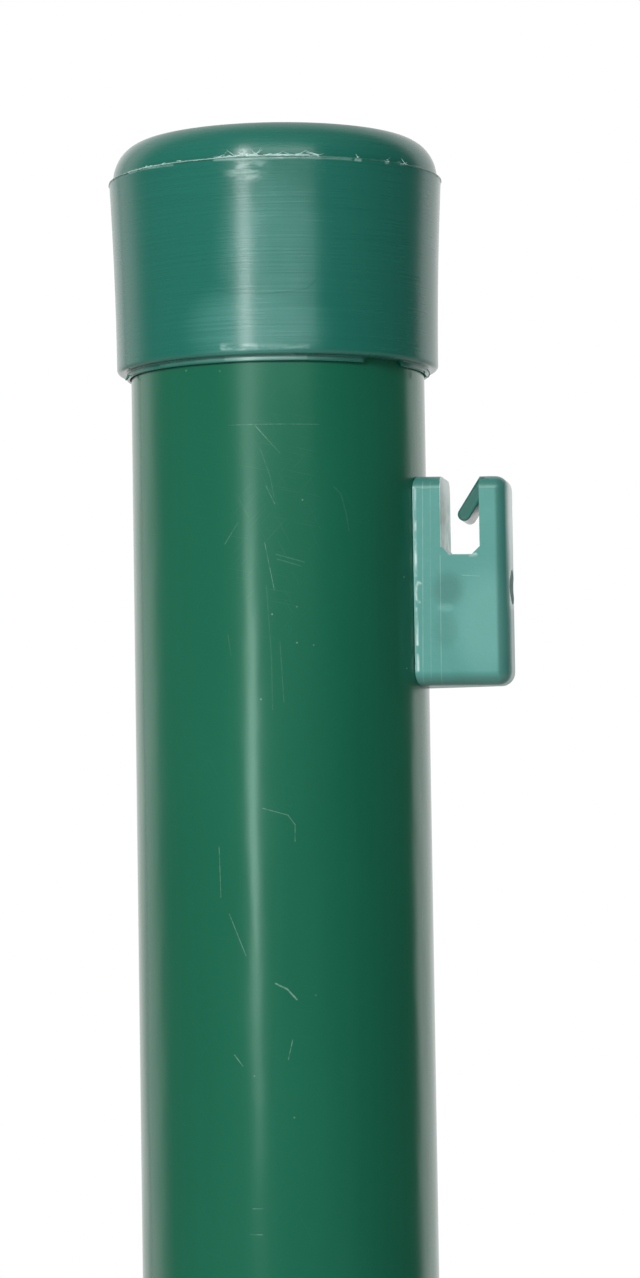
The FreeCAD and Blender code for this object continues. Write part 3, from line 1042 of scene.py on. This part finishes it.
def make_world():
    """White behind the post, an even soft light on it, and the studio's walls and ceiling mirrored in it."""
    world = bpy.data.worlds.new("studio")
    bpy.context.scene.world = world
    world.use_nodes = True
    world.node_tree.nodes.clear()
    sky = Network(world.node_tree)

    direction = sky.parts(sky.nodes.new("ShaderNodeTexCoord").outputs["Generated"])
    walls = sky.nodes.new("ShaderNodeValToRGB")
    turn = sky.math("ARCTAN2", direction["Y"], direction["X"])
    sky.set(walls.inputs["Fac"], sky.ramp(turn, -math.pi, math.pi))
    elements = walls.color_ramp.elements
    while len(elements) > 1:
        elements.remove(elements[-1])
    for index, (degrees, grey) in enumerate(studio_walls):
        position = (degrees + 180) / 360
        element = elements[0] if index == 0 else elements.new(position)
        element.position = position
        element.color = (grey, grey, grey, 1)
    overhead = sky.times(sky.ramp(direction["Z"], 0.35, 0.8), sky.ramp(direction["Y"], 0.35, -0.1))
    studio = sky.mix(overhead, walls.outputs["Color"], studio_ceiling)

    def background(colour, strength=1.0):
        made = sky.nodes.new("ShaderNodeBackground")
        sky.set(made.inputs["Color"], colour)
        made.inputs["Strength"].default_value = strength
        return made.outputs[0]

    def choice(share, first, second):
        made = sky.nodes.new("ShaderNodeMixShader")
        for socket, value in zip(made.inputs, (share, first, second)):
            sky.set(socket, value)
        return made.outputs[0]

    path = sky.nodes.new("ShaderNodeLightPath").outputs
    unseen = choice(path["Is Glossy Ray"], background(white, world_light), background(studio))
    seen = sky.strongest(path["Is Camera Ray"], path["Is Transmission Ray"])
    output = sky.nodes.new("ShaderNodeOutputWorld")
    sky.set(output.inputs["Surface"], choice(seen, unseen, background(white)))


# Softboxes: name, side in degrees from the camera's, then in mm its distance, its height, the height that it
# faces, and how wide and tall it is, then its watts and the kinds of ray that don't see it
softboxes = [
    ("softbox", -23.0, 900, 1440, 1440, 110, 146, 0.37, []),
    ("key", -22.0, 800, 1690, 1440, 400, 400, 3.9, ["glossy"]),
    ("strip", -22.0, 900, 1777, 1485, 80, 134, 2.7, []),
    ("side_light", 128.0, 900, 1480, 1470, 300, 300, 2.6, ["glossy"]),
    ("panel", 6.5, 1500, 2060, 1480, 1180, 500, 9.2, ["diffuse"]),
]


def make_lamp(name, side, distance, height, facing, width, tall, watts, unseen_by):
    """A softbox that stands round the post and faces it."""
    data = bpy.data.lights.new(name, "AREA")
    data.shape = "RECTANGLE"
    data.size = width * MM
    data.size_y = tall * MM
    data.energy = watts
    lamp = bpy.data.objects.new(name, data)
    turn = camera_side + math.radians(side)
    place = Vector((distance * math.cos(turn), distance * math.sin(turn), height)) * MM
    way = Vector((0, 0, facing)) * MM - place
    lamp.matrix_world = Matrix.Translation(place) @ way.to_track_quat("-Z", "Y").to_matrix().to_4x4()
    for kind in unseen_by:
        setattr(lamp, "visible_" + kind, False)
    bpy.context.scene.collection.objects.link(lamp)
    return lamp


def make_floor():
    bm = bmesh.new()
    bmesh.ops.create_grid(bm, x_segments=1, y_segments=1, size=floor_half)
    floor = as_object("floor", bm)
    finish = Finish("floor", floor_colour, 0.7)
    finish.bump(finish.grain(400), 0.05, 0.0002)
    path = finish.nodes.new("ShaderNodeLightPath").outputs
    seen = finish.strongest(path["Is Camera Ray"], path["Is Glossy Ray"], path["Is Transmission Ray"])
    finish.shader.inputs["Emission Color"].default_value = white
    finish.set(finish.shader.inputs["Emission Strength"], finish.times(seen, floor_paleness))
    floor.data.materials.append(finish.material)


bpy.context.scene.view_settings.view_transform = "Standard"
make_camera()
make_world()
for softbox in softboxes:
    make_lamp(*softbox)
# One more lamp points straight down and lights the floor
floor_light = make_lamp("floor_light", 0.0, 1550, 1000, 1000, 3000, 1800, 9.0, ["glossy", "camera"])
floor_light.rotation_euler = (0, 0, 0)
make_floor()
make_tube()
make_cap()
make_holders()
make_rivets()
